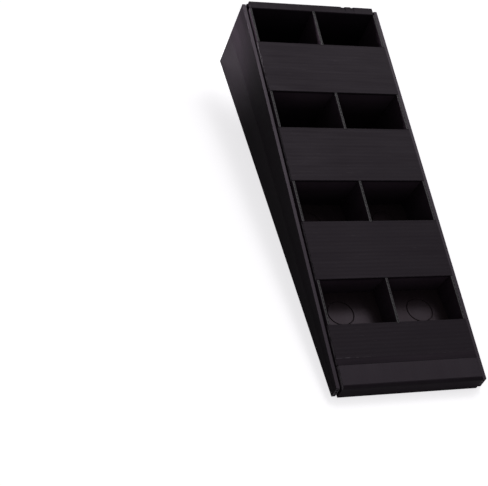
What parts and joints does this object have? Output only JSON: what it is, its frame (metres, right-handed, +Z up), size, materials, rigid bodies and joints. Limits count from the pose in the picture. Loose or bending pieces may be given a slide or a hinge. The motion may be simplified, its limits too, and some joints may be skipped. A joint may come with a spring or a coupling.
{
  "type": "card tray",
  "caption": "Sloped wedge-shaped card tray folded from black fluted board, with two columns of open wells down its deck, for cards that stand on edge.",
  "frame": {"origin": "centre of the footprint, on the surface the tray rests on", "axes": "+X across the tray to its right, +Y along it to the tall back edge, +Z up"},
  "size_m": [0.158, 0.4282, 0.0863],
  "materials": {
    "shell_board": "satin, smooth skin, flutes run front to back",
    "insert_board": "satin, fine ridges where the flutes show through the skin"
  },
  "bodies": {
    "root": {"base_panel": "shell_board", "side_panel_left": "shell_board", "side_panel_right": "shell_board", "back_panel": "shell_board", "back_rim_flap": "shell_board", "front_panel": "shell_board", "front_lip_flap": "shell_board", "inner_wall_left": "insert_board", "inner_wall_right": "insert_board", "centre_divider": "insert_board", "bridge_1_deck": "insert_board", "bridge_1_rear_leg": "insert_board", "bridge_1_front_leg": "insert_board", "bridge_2_deck": "insert_board", "bridge_2_rear_leg": "insert_board", "bridge_2_front_leg": "insert_board", "bridge_3_deck": "insert_board", "bridge_3_rear_leg": "insert_board", "bridge_3_front_leg": "insert_board", "bridge_4_deck": "insert_board", "bridge_4_rear_leg": "insert_board", "bridge_4_step": "insert_board"}
  },
  "joints": []
}
